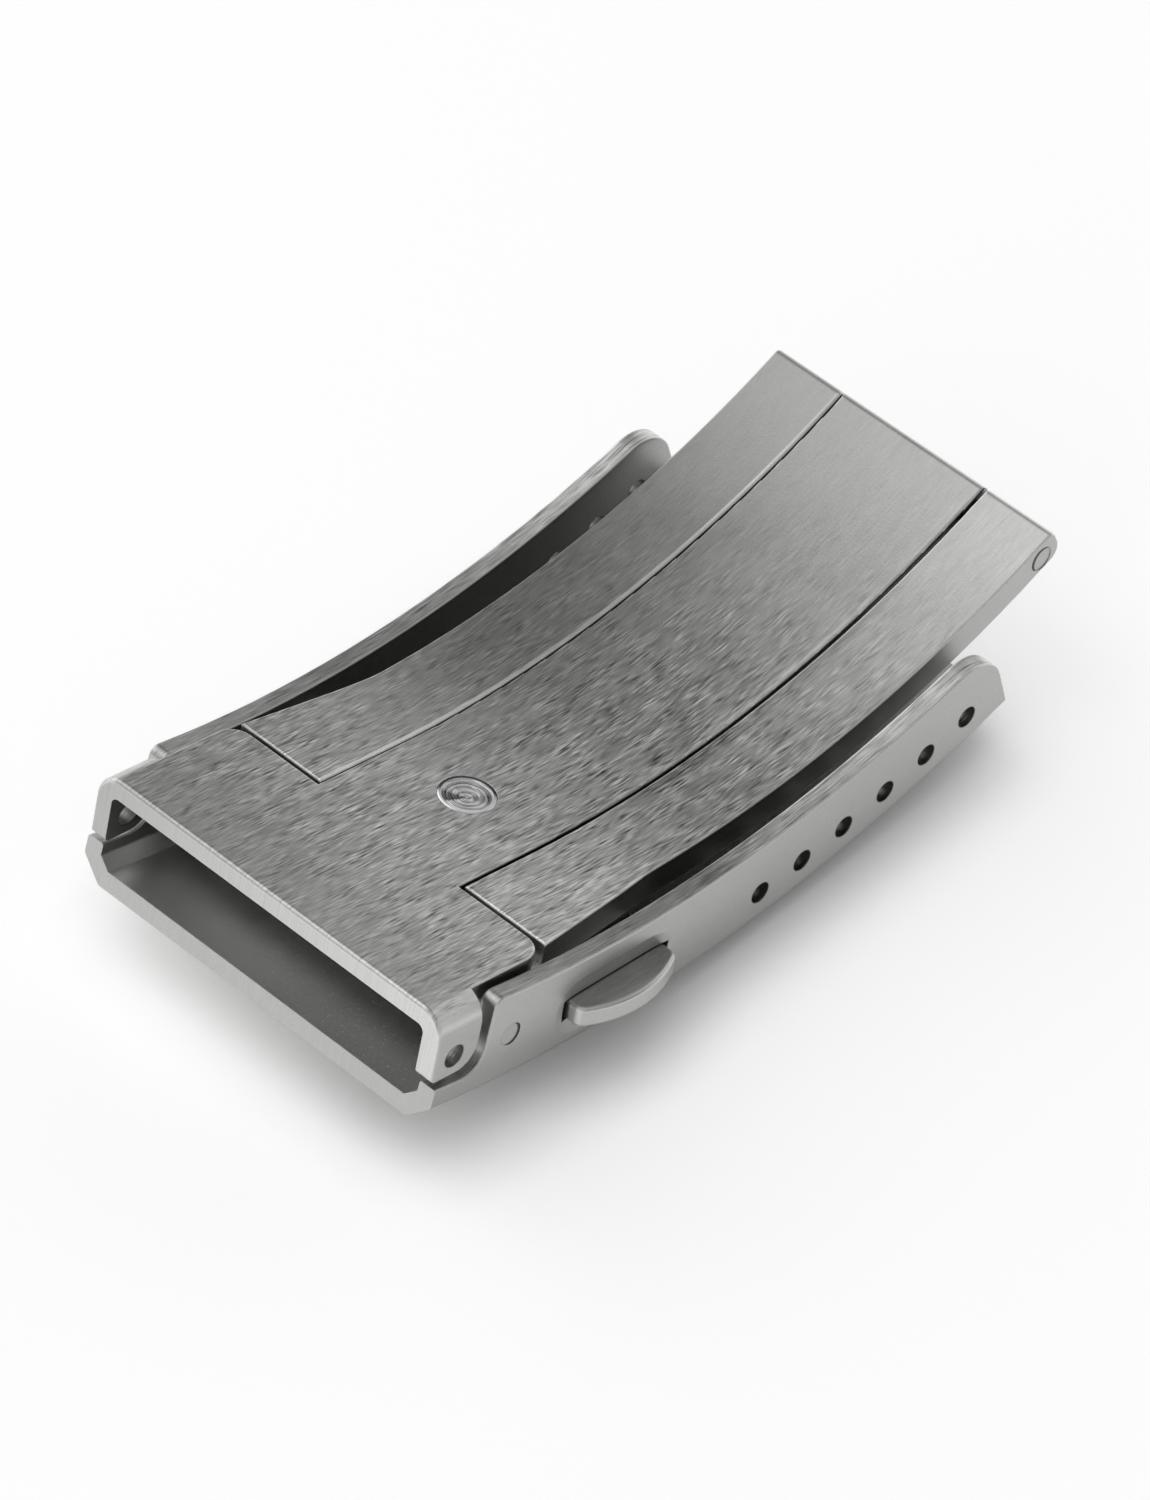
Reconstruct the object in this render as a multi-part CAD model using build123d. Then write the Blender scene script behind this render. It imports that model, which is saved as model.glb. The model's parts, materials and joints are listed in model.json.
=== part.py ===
from build123d import *
from math import atan2, cos, degrees, hypot, radians, sin, sqrt
import os

# Nested three-fold deployant clasp with two push buttons, closed, wrist side up.
# Millimetres. X runs from the lug end to the micro-adjust end, Y across, Z up.
# While it is drawn, the lowest line of the cover's belly is at x = 0, z = 0.

# Cover: a sheet channel bent on one radius about an axis parallel to Y
cover_width = 20.0
cover_sheet = 0.85
cover_radius = 61.0
cover_tail_angle = 13.55
bevel_width = 1.1
bevel_height = 1.0
bevel_soft = 0.35
wall_low_x = 0.73
wall_low = 4.95
wall_radius_less = 10.0
wall_front_round = 0.45
wall_tip_round = 2.0
wall_edge_round = 0.1
wall_lug_gap = 0.33
channel_spare = 7.0
lip_height = 1.9
lip_fillet = 1.1
lip_length = 2.75

# Micro-adjust holes, counted from the tail
hole_count = 6
hole_radius = 0.5
hole_pitch = 2.5
hole_height = 2.33
hole_tail_margin = 2.244

# Blades: the wrist-side face is flat as far as bend_start, then a single arc
stud_angle = 8.07
plate_lean = 5.86
bend_start = -0.4
blade_radius_less = 15.0
plate_rear = -4.65
blade_gap = 0.2
blade_edge_round = 0.12
running_gap = 0.03
touch = 0.005

# Inner blade (tongue) with its wide end and two lugs
tongue_sheet = 0.9
tongue_width = 8.1
plate_side_gap = 0.2
plate_corner = 1.0
lug_inset = 0.15
lug_length = 2.5
lug_pin_gap = 0.9
lug_lip_gap = 0.3
lug_inner_bend = 0.35
lug_corner = 1.1
lug_front_corner = 0.25
hoop_edge_round = 0.2
lug_hole_inset = 1.15
lug_hole_rise = 0.95
lug_hole_radius = 0.53

# Outer blade (fork)
fork_sheet = 1.5
fork_side_gap = 0.4
slot_near_gap = 0.15
slot_far_gap = 0.05
fork_taper = 0.8
fork_taper_length = 7.05
fork_taper_soft = 9.0
bridge_reach = 2.7
bridge_top_gap = 0.22
bridge_floor = 0.85
bridge_slope_run = 1.15
bridge_cage_gap = 0.1

# Cover hinge pin and fold hinge pin
pin_radius = 0.55
pin_plate_gap = 0.7
barrel_wall = 0.4
pin_recess = 0.05
fold_angle = 33.1
fold_drop = 0.05
fold_skin = 0.1
nose_wall = 0.46
nose_flat = 0.05
nose_top_round = 0.3
knuckle_length = 2.3

# Latch stud riveted through the tongue
stud_shank_radius = 0.8
stud_rivet_step = 0.47
stud_rivet_depth = 0.4
stud_shoulder_step = 0.2
stud_shoulder_length = 1.0
stud_neck_less = 0.1
stud_head_overhang = 0.4
stud_head_length = 0.55
stud_head_taper = 0.2
stud_floor_gap = 0.92
stud_dish = 0.14
stud_proud = 0.03
stud_rim_soft = 0.06
stud_rim_width = 0.15
stud_ring_count = 6
stud_ring_rise = 0.03

# Push-button latch plates, in a plane that lies along the cover's bend
latch_forward = 1.18
slot_length = 6.1
slot_height = 1.12
tab_end_gap = 0.2
tab_face_gap = 0.06
tab_proud = 1.45
tab_bow = 0.8
tab_corner = 0.55
tab_edge_soft = 0.2
tab_root = 0.8
latch_plate = 0.7
latch_shoulder = 0.25
latch_wall_gap = 0.05
latch_bar = 0.5
button_travel = 0.9
arm_width = 1.0
arm_clear = 0.25
arm_end_gap = 0.3
hook_width = 0.74
hook_gap = 0.06
hook_side_gap = 0.3
head_play = 0.03
scoop_depth = 0.14
scoop_radius = 7.0
scoop_straight = 4.0
scoop_shift = -0.1

# Guide cage on the cover's floor, and the two button springs
cage_wall_gap = 1.85
cage_sheet = 0.35
cage_rail = 0.45
cage_play = 0.04
cage_blade_gap = 0.51
cage_hole_front = 0.85
cage_hole_rear = 0.5
cage_hole_side = 0.3
post_length = 1.0
post_depth = 0.5
post_play = 0.15
window_length = 1.3
window_wall = 1.15
spring_mean_radius = 0.26
spring_wire_radius = 0.07
spring_turns = 6
spring_seat_gap = 0.02

# One overrun serves every through cut
overrun = 3.0

# The middle of a quarter round lies this share of its radius along both of its sides
diagonal_share = sqrt(1 / 2)

# Widths that follow the cover
half_cover = cover_width / 2
inner_wall = half_cover - cover_sheet
plate_width = 2 * (inner_wall - plate_side_gap)
lug_outer_width = cover_width - 2 * lug_inset
fork_near_width = 2 * (inner_wall - fork_side_gap)
fork_far_width = fork_near_width - 2 * fork_taper

# Latch: a tab through each wall's slot, a plate behind it, and an arm with a hook round the stud
tab_width = slot_length - 2 * tab_end_gap
tab_thickness = slot_height - 2 * tab_face_gap
latch_width = slot_length + 2 * latch_shoulder
stud_head_radius = stud_shank_radius - stud_neck_less + stud_head_overhang
hook_near = stud_head_radius + hook_gap
hook_end = hook_near + hook_width
latch_end = hook_end + 2 * button_travel + arm_end_gap
window_inner = latch_end + latch_bar
window_outer = inner_wall - window_wall
post_y = window_inner + post_play

# Heights over the cover's outside: floor, stud head, latch plates, cage roof, blades
channel_middle = (latch_plate - tab_thickness) / 2
cage_channel = latch_plate + 2 * cage_play
roof_top = channel_middle + cage_channel / 2 + cage_sheet
latch_height = cover_sheet + stud_floor_gap + stud_head_length + head_play + tab_thickness / 2
plate_height = latch_height + roof_top + cage_blade_gap + fork_sheet

# The pieces along the plate, from the stud towards the lugs
barrel_radius = pin_radius + barrel_wall
near_end = plate_rear + blade_gap
pin_a = near_end - bridge_reach
pin_b = -tongue_sheet - pin_plate_gap - barrel_radius
lug_rear = pin_a - barrel_radius - lug_pin_gap
plate_front = lug_rear - lug_length

# Fold end of both blades
blade_radius = cover_radius - blade_radius_less
fold_depth = fork_sheet / 2 + fold_drop
fold_radius = fork_sheet - fold_depth - fold_skin
nose_round = fork_sheet / 2 - nose_flat
nose_angle = fold_angle + degrees((fold_radius + nose_wall) / blade_radius)
knuckle_angle = nose_angle - degrees(knuckle_length / blade_radius)


def around(angle, height):
    """A point of the XZ plane at an angle from the belly's lowest line and a height over its outside."""
    turn = radians(angle)
    radius = cover_radius - height
    return radius * sin(turn), cover_radius - radius * cos(turn)


cover_axis = Axis((0, 0, cover_radius), (0, 1, 0))
stud_x, stud_z = around(-stud_angle, plate_height)
tilt = radians(stud_angle + plate_lean)
stud_origin = (stud_x, 0, stud_z)
along_plate = (cos(tilt), 0, -sin(tilt))
off_plate = (sin(tilt), 0, cos(tilt))
side_plane = Plane(stud_origin, x_dir=along_plate, z_dir=(0, -1, 0))
plan_plane = Plane(stud_origin, x_dir=along_plate, z_dir=off_plate)


def to_drawing(point):
    """A point of the plate frame's side view, in the XZ plane."""
    a, b = point
    return stud_x + a * cos(tilt) + b * sin(tilt), stud_z - a * sin(tilt) + b * cos(tilt)


def depth_at(a, height):
    """How far below the plate's face, square to it, the given height over the cover's outside is met."""
    x, z = to_drawing((a, 0))
    from_axis = z - cover_radius
    along_normal = x * sin(tilt) + from_axis * cos(tilt)
    return along_normal + sqrt(along_normal ** 2 - x ** 2 - from_axis ** 2 + (cover_radius - height) ** 2)


def blade_point(angle, depth):
    """A point of the plate frame on the bent stretch, depth below the wrist-side face."""
    turn = radians(angle)
    radius = blade_radius + depth
    return bend_start + radius * sin(turn), blade_radius - radius * cos(turn)


lug_depth = depth_at(plate_front, lip_height + lug_lip_gap)
bridge_depth = depth_at(near_end, latch_height + roof_top + bridge_cage_gap)
hinge_point = to_drawing((pin_a, pin_b))
fold_point = to_drawing(blade_point(fold_angle, fold_depth))
lug_point = to_drawing((plate_front + lug_hole_inset, lug_hole_rise - lug_depth))

# The walls start behind the lugs, and the lip runs on below them
pin_angle = degrees(atan2(-hinge_point[0], cover_radius - hinge_point[1]))
wall_past_pin = barrel_radius + lug_pin_gap - wall_lug_gap
wall_front_angle = pin_angle + degrees(wall_past_pin / cover_radius)
cover_front_angle = wall_front_angle + degrees(lip_length / cover_radius)
wall_top_radius = cover_radius - wall_radius_less

hole_step = degrees(hole_pitch / (cover_radius - hole_height))
first_hole_angle = cover_tail_angle - degrees(hole_tail_margin / (cover_radius - hole_height))
hole_points = [around(first_hole_angle - i * hole_step, hole_height) for i in range(hole_count)]

latch_turn = radians(-stud_angle - latch_forward)
latch_x, latch_z = around(-stud_angle - latch_forward, latch_height)
latch_plane = Plane(
    (latch_x, 0, latch_z),
    x_dir=(cos(latch_turn), 0, sin(latch_turn)),
    z_dir=(-sin(latch_turn), 0, cos(latch_turn)),
)

# Where the stud's axis crosses the latch plane: how deep below the plate, and how far along the latch
normal_part = (latch_x - stud_x) * sin(latch_turn) - (latch_z - stud_z) * cos(latch_turn)
stud_latch_depth = normal_part / cos(tilt + latch_turn)
cross_x, cross_z = to_drawing((0, -stud_latch_depth))
stud_u = (cross_x - latch_x) * cos(latch_turn) + (cross_z - latch_z) * sin(latch_turn)
stud_head_start = stud_latch_depth + tab_thickness / 2 + head_play
arm_inner = stud_head_radius + arm_clear
arm_outer = arm_inner + arm_width


def wall_top_at(angle):
    """Where the line at this angle about the cover's bend axis meets the walls' top edge."""
    turn = radians(angle)
    lean_x, lean_z = sin(turn), -cos(turn)
    off_x = -wall_low_x
    off_z = cover_radius - wall_low - wall_top_radius
    half_b = lean_x * off_x + lean_z * off_z
    rest = off_x ** 2 + off_z ** 2 - wall_top_radius ** 2
    length = -half_b + sqrt(half_b ** 2 - rest)
    return length * lean_x, cover_radius + length * lean_z


def face_from(edges):
    return Face(Wire(edges))


def cross_rod(point, radius, length):
    """A rod along Y through a point of the XZ plane."""
    x, z = point
    return Pos(x, 0, z) * Rot(90, 0, 0) * Cylinder(radius, length)


def blade_band(start, sheet, end_angle):
    """Side view of a blade of even thickness from a start in the flat stretch to an angle of the arc."""
    middle = end_angle / 2
    top_end = blade_point(end_angle, 0)
    low_end = blade_point(end_angle, sheet)
    return face_from([
        Line((start, 0), (bend_start, 0)),
        ThreePointArc((bend_start, 0), blade_point(middle, 0), top_end),
        Line(top_end, low_end),
        ThreePointArc(low_end, blade_point(middle, sheet), (bend_start, -sheet)),
        Line((bend_start, -sheet), (start, -sheet)),
        Line((start, -sheet), (start, 0)),
    ])


def round_nose(face):
    """Rounds the far end of a blade's side view, a little above and fully below."""
    top_end = blade_point(nose_angle, 0)
    low_end = blade_point(nose_angle, fork_sheet)
    for corner, radius in ((top_end, nose_top_round), (low_end, nose_round)):
        face = fillet(face.vertices().sort_by_distance((*corner, 0))[:1], radius)
    return face


def in_plate_frame(point):
    """Along the plate, above its plane, and towards -Y."""
    local = side_plane.to_local_coords(point)
    return local.X, local.Y, local.Z


def off_face(point):
    """How far a point lies from the blades' wrist-side face."""
    a, b, _ = in_plate_frame(point)
    if a < bend_start:
        return abs(b)
    return abs(sqrt((a - bend_start) ** 2 + (b - blade_radius) ** 2) - blade_radius)


def face_edges(shape):
    """The outer edges of a blade's wrist-side face, but for the hoop, the stud's hole and the far end."""
    chosen = []
    stud_reach = stud_shank_radius + stud_rivet_step + touch
    for edge in shape.edges():
        points = [edge @ share for share in (0, 0.5, 1)]
        in_face = max(off_face(point) for point in points) < touch
        places = [in_plate_frame(point) for point in points]
        first, middle, last = [a for a, b, across in places]
        smooth = abs(last - first) < touch and middle > bend_start - touch
        at_stud = min(hypot(a, across) for a, b, across in places) < stud_reach
        if in_face and middle > lug_rear + touch and not smooth and not at_stud:
            chosen.append(edge)
    return chosen


def from_side(face, width):
    """A solid across the part from a side view in the plate frame."""
    return extrude(side_plane * face, amount=width / 2, both=True)


def from_plan(face):
    """A prism along the plate's normal from a plan view in the plate frame."""
    return extrude(plan_plane * face, amount=cover_width, both=True)


def make_cover():
    channel_height = wall_low + channel_spare
    outline = Polygon(
        (-half_cover, channel_height),
        (-half_cover, bevel_height),
        (bevel_width - half_cover, 0),
        (half_cover - bevel_width, 0),
        (half_cover, bevel_height),
        (half_cover, channel_height),
        align=None,
    )
    outline = fillet(outline.vertices().sort_by(Axis.Y)[:4], bevel_soft)
    section = outline - offset(outline, -cover_sheet)
    section = Plane.YZ * section
    section = section.rotate(cover_axis, -cover_tail_angle)
    channel = revolve(section, cover_axis, revolution_arc=cover_front_angle + cover_tail_angle)

    below = -overrun
    front_out = cover_front_angle + degrees(overrun / cover_radius)
    lip_front = around(-front_out, lip_height)
    lip_back = around(-wall_front_angle, lip_height)
    lip_middle = around(-(front_out + wall_front_angle) / 2, lip_height)
    wall_front = wall_top_at(-wall_front_angle)
    wall_tip = wall_top_at(cover_tail_angle)
    tip_below = around(cover_tail_angle, below)
    front_below = around(-front_out, below)
    side = face_from([
        Line(front_below, lip_front),
        ThreePointArc(lip_front, lip_middle, lip_back),
        Line(lip_back, wall_front),
        ThreePointArc(wall_front, (wall_low_x, wall_low), wall_tip),
        Line(wall_tip, tip_below),
        Line(tip_below, front_below),
    ])
    rounds = ((lip_back, lip_fillet), (wall_front, wall_front_round), (wall_tip, wall_tip_round))
    for corner, radius in rounds:
        side = fillet(side.vertices().sort_by_distance((*corner, 0))[:1], radius)
    cover = channel & extrude(Plane.XZ * side, amount=half_cover + overrun, both=True)

    wall_edges = []
    for edge in cover.edges():
        if edge.length > cover_width and (edge @ 0.5).Z > wall_low - touch:
            wall_edges.append(edge)
    cover = fillet(wall_edges, wall_edge_round)

    for point in hole_points:
        cover -= cross_rod(point, hole_radius, cover_width + overrun)
    cover -= cross_rod(hinge_point, pin_radius, cover_width + overrun)
    cover -= latch_plane * Box(slot_length, cover_width + overrun, slot_height)
    half_straight = scoop_straight / 2
    scoop_end = half_straight + scoop_radius
    rear_top = (half_straight, scoop_radius)
    rear_middle = (half_straight + scoop_radius * diagonal_share, scoop_radius * diagonal_share)
    front_top = (-half_straight, scoop_radius)
    front_middle = (-half_straight - scoop_radius * diagonal_share, scoop_radius * diagonal_share)
    scoop = face_from([
        Line((-scoop_end, 0), (scoop_end, 0)),
        ThreePointArc((scoop_end, 0), rear_middle, rear_top),
        Line(rear_top, front_top),
        ThreePointArc(front_top, front_middle, (-scoop_end, 0)),
    ])
    scoop = revolve(scoop, Axis.X)
    for side_sign in (-1, 1):
        scoop_y = side_sign * (half_cover - scoop_depth + scoop_radius)
        cover -= latch_plane * Pos(scoop_shift, scoop_y, 0) * scoop
    return cover


def make_tongue():
    band = from_side(blade_band(lug_rear, tongue_sheet, nose_angle), cover_width)
    corners = [(plate_rear, plate_width / 2), (plate_rear, -plate_width / 2)]
    plate = Pos((lug_rear + plate_rear) / 2, 0) * Rectangle(plate_rear - lug_rear, plate_width)
    for corner in corners:
        plate = fillet(plate.vertices().sort_by_distance((*corner, 0))[:1], plate_corner)
    strip_length = blade_radius - plate_rear
    strip = Pos(plate_rear + strip_length / 2, 0) * Rectangle(strip_length + plate_corner, tongue_width)
    tongue = band & from_plan(plate + strip)
    tongue = fillet(face_edges(tongue), blade_edge_round)

    lug_outer_bend = tongue_sheet + lug_inner_bend
    lug_section = Rectangle(lug_outer_width, 2 * lug_depth)
    lug_section = fillet(lug_section.vertices(), lug_outer_bend)
    hollow = Rectangle(lug_outer_width - 2 * tongue_sheet, 2 * (lug_depth - tongue_sheet))
    hollow = fillet(hollow.vertices(), lug_inner_bend)
    foot_origin = side_plane.from_local_coords((plate_front, -lug_depth, 0))
    across = Plane(foot_origin, x_dir=(0, 1, 0), z_dir=along_plate)
    hoop = extrude(across * (lug_section - hollow), amount=lug_length)
    front_edges = []
    for edge in hoop.edges():
        a, b, sideways = in_plate_frame(edge @ 0.5)
        beside = abs(sideways) > (lug_outer_width - tongue_sheet) / 2
        if abs(a - plate_front) < touch and (beside or b > -touch):
            front_edges.append(edge)
    hoop = fillet(front_edges, hoop_edge_round)
    lug_side = Pos((plate_front + lug_rear) / 2, -lug_depth / 2) * Rectangle(lug_length, lug_depth)
    rear_foot = lug_side.vertices().sort_by_distance((lug_rear, -lug_depth, 0))[:1]
    lug_side = fillet(rear_foot, lug_corner)
    front_foot = lug_side.vertices().sort_by_distance((plate_front, -lug_depth, 0))[:1]
    lug_side = fillet(front_foot, lug_front_corner)
    legs_only = from_side(lug_side, cover_width)
    below_bend = Pos(plate_front, -lug_depth) * Rectangle(2 * lug_length + overrun, 2 * lug_outer_bend)
    between = from_side(below_bend, lug_outer_width - 2 * tongue_sheet)
    tongue += (hoop & legs_only) - between

    inside = tongue_sheet / 2
    middle_in = blade_point((knuckle_angle + nose_angle) / 2, inside)
    nose_in = blade_point(nose_angle, inside)
    nose_out = blade_point(nose_angle, fork_sheet)
    root_in = blade_point(knuckle_angle, inside)
    root_out = blade_point(knuckle_angle, fork_sheet)
    knuckle = face_from([
        ThreePointArc(root_in, middle_in, nose_in),
        Line(nose_in, nose_out),
        Line(nose_out, root_out),
        Line(root_out, root_in),
    ])
    tongue += from_side(knuckle, tongue_width)
    tongue &= from_side(nose_limit(), cover_width)
    tongue -= cross_rod(fold_point, fold_radius + running_gap, cover_width)
    tongue -= cross_rod(lug_point, lug_hole_radius, cover_width + overrun)
    tongue -= plan_plane * Cylinder(stud_shank_radius, overrun)
    upright = Align.CENTER, Align.CENTER, Align.MIN
    seat = Cylinder(stud_shank_radius + stud_rivet_step, overrun, align=upright)
    return tongue - plan_plane * Pos(0, 0, -stud_rivet_depth) * seat


def nose_limit():
    """Side view that rounds the far end of both blades alike, and leaves the rest free."""
    top_end = blade_point(nose_angle, 0)
    low_end = blade_point(nose_angle, fork_sheet)
    middle = nose_angle / 2
    start = plate_front - overrun
    deep = -lug_depth - overrun
    nose = face_from([
        Line((bend_start, 0), (start, 0)),
        Line((start, 0), (start, deep)),
        Line((start, deep), (bend_start, deep)),
        Line((bend_start, deep), (bend_start, -fork_sheet)),
        ThreePointArc((bend_start, -fork_sheet), blade_point(middle, fork_sheet), low_end),
        Line(low_end, top_end),
        ThreePointArc(top_end, blade_point(middle, 0), (bend_start, 0)),
    ])
    return round_nose(nose)


def make_fork():
    bridge_top = -tongue_sheet - bridge_top_gap
    slope_start = near_end + bridge_slope_run
    legs = from_side(round_nose(blade_band(near_end, fork_sheet, nose_angle)), fork_near_width)
    bridge = Polygon(
        (near_end, 0),
        (near_end, bridge_top),
        (pin_a, pin_b + barrel_radius),
        (pin_a, pin_b - barrel_radius),
        (near_end, -bridge_depth),
        (slope_start, -fork_sheet),
        (slope_start, 0),
        align=None,
    )
    barrel = cross_rod(hinge_point, barrel_radius, fork_near_width)
    fork = legs + from_side(bridge, fork_near_width) + barrel

    front = pin_a - barrel_radius - overrun
    past_nose = blade_radius
    taper_end = near_end + fork_taper_length
    half_near, half_far = fork_near_width / 2, fork_far_width / 2
    plan = Polygon(
        (front, -half_near),
        (near_end, -half_near),
        (taper_end, -half_far),
        (past_nose, -half_far),
        (past_nose, half_far),
        (taper_end, half_far),
        (near_end, half_near),
        (front, half_near),
        align=None,
    )
    soft = [corner for corner in plan.vertices() if near_end < corner.X < past_nose]
    plan = fillet(soft, fork_taper_soft)
    fork &= from_plan(plan)

    slot_width = tongue_width + slot_near_gap + slot_far_gap
    slot_middle = (slot_far_gap - slot_near_gap) / 2
    slot_start = near_end + bridge_floor
    slot_plan = Pos(slot_start + past_nose / 2, slot_middle) * Rectangle(past_nose, slot_width)
    fork -= from_plan(slot_plan)
    over_bridge = Pos(near_end, bridge_top + overrun / 2) * Rectangle(2 * overrun, overrun)
    fork -= Pos(0, slot_middle, 0) * from_side(over_bridge, slot_width)
    fork = fillet(face_edges(fork), blade_edge_round)
    fork -= cross_rod(hinge_point, pin_radius + running_gap, cover_width)
    fork -= cross_rod(fold_point, fold_radius, cover_width)
    return fork


def make_stud():
    rivet_radius = stud_shank_radius + stud_rivet_step
    shoulder_radius = stud_shank_radius + stud_shoulder_step
    shoulder_end = tongue_sheet + stud_shoulder_length
    neck_radius = stud_shank_radius - stud_neck_less
    head_end = stud_head_start + stud_head_length
    dish_radius = rivet_radius - stud_rim_width
    ring_step = dish_radius / stud_ring_count
    rings = []
    for number in range(stud_ring_count):
        rise = stud_proud - stud_dish * (1 - (number / stud_ring_count) ** 2)
        rings.append((number * ring_step, rise))
        rings.append(((number + 1) * ring_step - stud_ring_rise, rise - stud_ring_rise))
    profile = Polygon(
        *rings,
        (dish_radius, stud_proud),
        (rivet_radius - stud_rim_soft, stud_proud),
        (rivet_radius, stud_proud - stud_rim_soft),
        (rivet_radius, -stud_rivet_depth),
        (stud_shank_radius, -stud_rivet_depth),
        (stud_shank_radius, -tongue_sheet),
        (shoulder_radius, -tongue_sheet),
        (shoulder_radius, -shoulder_end),
        (neck_radius, -shoulder_end),
        (neck_radius, -stud_head_start),
        (stud_head_radius, -stud_head_start),
        (stud_head_radius, stud_head_taper - head_end),
        (stud_head_radius - stud_head_taper, -head_end),
        (0, -head_end),
        align=None,
    )
    return revolve(side_plane * profile, Axis(stud_origin, off_plate))


def latch_plate_shape(arm_from, arm_to, hook_from, hook_to):
    """Button tab, web, arm and hook for the wall at -Y, drawn flat in the latch plane."""
    tab_tip = half_cover + tab_proud
    tab_start = inner_wall - tab_root
    bow_radius = ((tab_width / 2) ** 2 + tab_bow ** 2) / (2 * tab_bow)
    tab = Pos(0, -(tab_start + tab_tip) / 2) * Rectangle(tab_width, tab_tip - tab_start)
    bow = Pos(0, bow_radius - tab_tip) * Circle(bow_radius)
    keep = Pos(0, -tab_start) * Rectangle(tab_width, cover_sheet + tab_root)
    tab = tab & (bow + keep)
    tab = fillet(tab.vertices().sort_by(Axis.Y)[:2], tab_corner)
    tab = extrude(tab, amount=tab_thickness / 2, both=True)
    outside = [edge for edge in tab.edges() if edge.center().Y < -half_cover]
    rim = [edge for edge in outside if abs(edge.center().Z) > running_gap]
    tab = fillet(rim, tab_edge_soft)

    web_outer = inner_wall - latch_wall_gap
    body = Pos(0, -(web_outer + latch_end) / 2) * Rectangle(latch_width, web_outer - latch_end)
    arm = Rectangle(arm_to - arm_from, hook_end + latch_end)
    arm = Pos((arm_from + arm_to) / 2, (hook_end - latch_end) / 2) * arm
    hook = Rectangle(hook_to - hook_from, hook_width)
    hook = Pos((hook_from + hook_to) / 2, (hook_near + hook_end) / 2) * hook
    web = Pos(0, 0, -tab_thickness / 2) * extrude(body + arm + hook, amount=latch_plate)
    window = Box(window_length, window_outer - window_inner, tab_thickness + overrun)
    return tab + web - Pos(0, -(window_outer + window_inner) / 2) * window


def make_near_button():
    arm_from, arm_to = stud_u + arm_inner, stud_u + arm_outer
    flat = latch_plate_shape(arm_from, arm_to, stud_u - arm_inner + hook_side_gap, arm_to)
    return latch_plane * flat


def make_far_button():
    arm_from, arm_to = stud_u - arm_outer, stud_u - arm_inner
    flat = latch_plate_shape(arm_from, arm_to, arm_from, stud_u + arm_inner - hook_side_gap)
    return latch_plane * mirror(flat, Plane.XZ)


def make_cage():
    """A folded guide on the floor: a shelf below the latch plates, a roof over them and two rails."""
    channel_length = latch_width + 2 * cage_play
    shelf_bottom = channel_middle - cage_channel / 2 - cage_sheet
    cage_width = 2 * (inner_wall - cage_wall_gap)
    through = cage_width + overrun
    outer_length = channel_length + 2 * cage_rail
    low = Align.CENTER, Align.CENTER, Align.MAX
    cage = Pos(0, 0, roof_top) * Box(outer_length, cage_width, latch_height + roof_top, align=low)
    cage -= Pos(0, 0, channel_middle) * Box(channel_length, through, cage_channel)
    cage -= Pos(0, 0, shelf_bottom) * Box(channel_length, through, latch_height, align=low)
    hole_from = stud_u - stud_head_radius - cage_hole_front
    hole_to = stud_u + stud_head_radius + cage_hole_rear
    hole_half = stud_head_radius + cage_hole_side
    hole = Pos((hole_from + hole_to) / 2, 0) * Rectangle(hole_to - hole_from, 2 * hole_half)
    cage -= extrude(fillet(hole.vertices(), stud_head_radius), amount=latch_height, both=True)
    for side_sign in (-1, 1):
        post_middle = side_sign * (post_y + post_depth / 2)
        cage += Pos(0, post_middle, channel_middle) * Box(post_length, post_depth, cage_channel)
    inside = Pos(0, 0, cover_radius) * Rot(90, 0, 0) * Cylinder(cover_radius - cover_sheet, cover_width)
    return (latch_plane * cage) & inside


def make_spring(side_sign):
    """A coil spring between the post and the outer end of the latch plate's window."""
    end_room = spring_wire_radius + spring_seat_gap
    start = post_y + post_depth + end_room
    length = window_outer - end_room - start
    coil = Helix(length / spring_turns, length, spring_mean_radius)
    wire = Plane(coil @ 0, z_dir=coil % 0) * Circle(spring_wire_radius)
    spring = sweep(wire, path=coil, is_frenet=True)
    upright = Plane((0, side_sign * start, channel_middle), x_dir=(1, 0, 0), z_dir=(0, side_sign, 0))
    return latch_plane * (upright * spring)


def make_hinge_pin():
    return cross_rod(hinge_point, pin_radius, cover_width - 2 * pin_recess)


def make_fold_pin():
    return cross_rod(fold_point, fold_radius, fork_far_width - 2 * pin_recess)


pieces = {
    "cover": make_cover(),
    "cover_hinge_pin": make_hinge_pin(),
    "latch_cage": make_cage(),
    "outer_blade": make_fork(),
    "fold_hinge_pin": make_fold_pin(),
    "inner_blade": make_tongue(),
    "latch_stud": make_stud(),
    "push_button_near": make_near_button(),
    "push_button_far": make_far_button(),
    "button_spring_near": make_spring(-1),
    "button_spring_far": make_spring(1),
}

# The finished part stands with the middle of its box over the origin
boxes = [shape.bounding_box() for shape in pieces.values()]
low_x = min(box.min.X for box in boxes)
high_x = max(box.max.X for box in boxes)
shift_x = -(low_x + high_x) / 2
shift_z = -min(box.min.Z for box in boxes)
os.makedirs("parts", exist_ok=True)
for node, shape in pieces.items():
    placed = Pos(shift_x, 0, shift_z) * shape
    placed.label = node
    export_step(placed, f"parts/{node}.step")


def show_place(name, point):
    """Prints a point of the XZ plane as it lies in the finished part."""
    print(name, round(point[0] + shift_x, 4), round(point[1] + shift_z, 4))


show_place("cover hinge", hinge_point)
show_place("fold hinge", fold_point)
show_place("lug bore", lug_point)
show_place("stud", (stud_x, stud_z))
show_place("latch plane", (latch_x, latch_z))
for point in hole_points:
    show_place("adjust hole", point)
print("length", round(high_x - low_x, 3), "height", round(max(box.max.Z for box in boxes) + shift_z, 3))
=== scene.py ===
import json
import math

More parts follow.
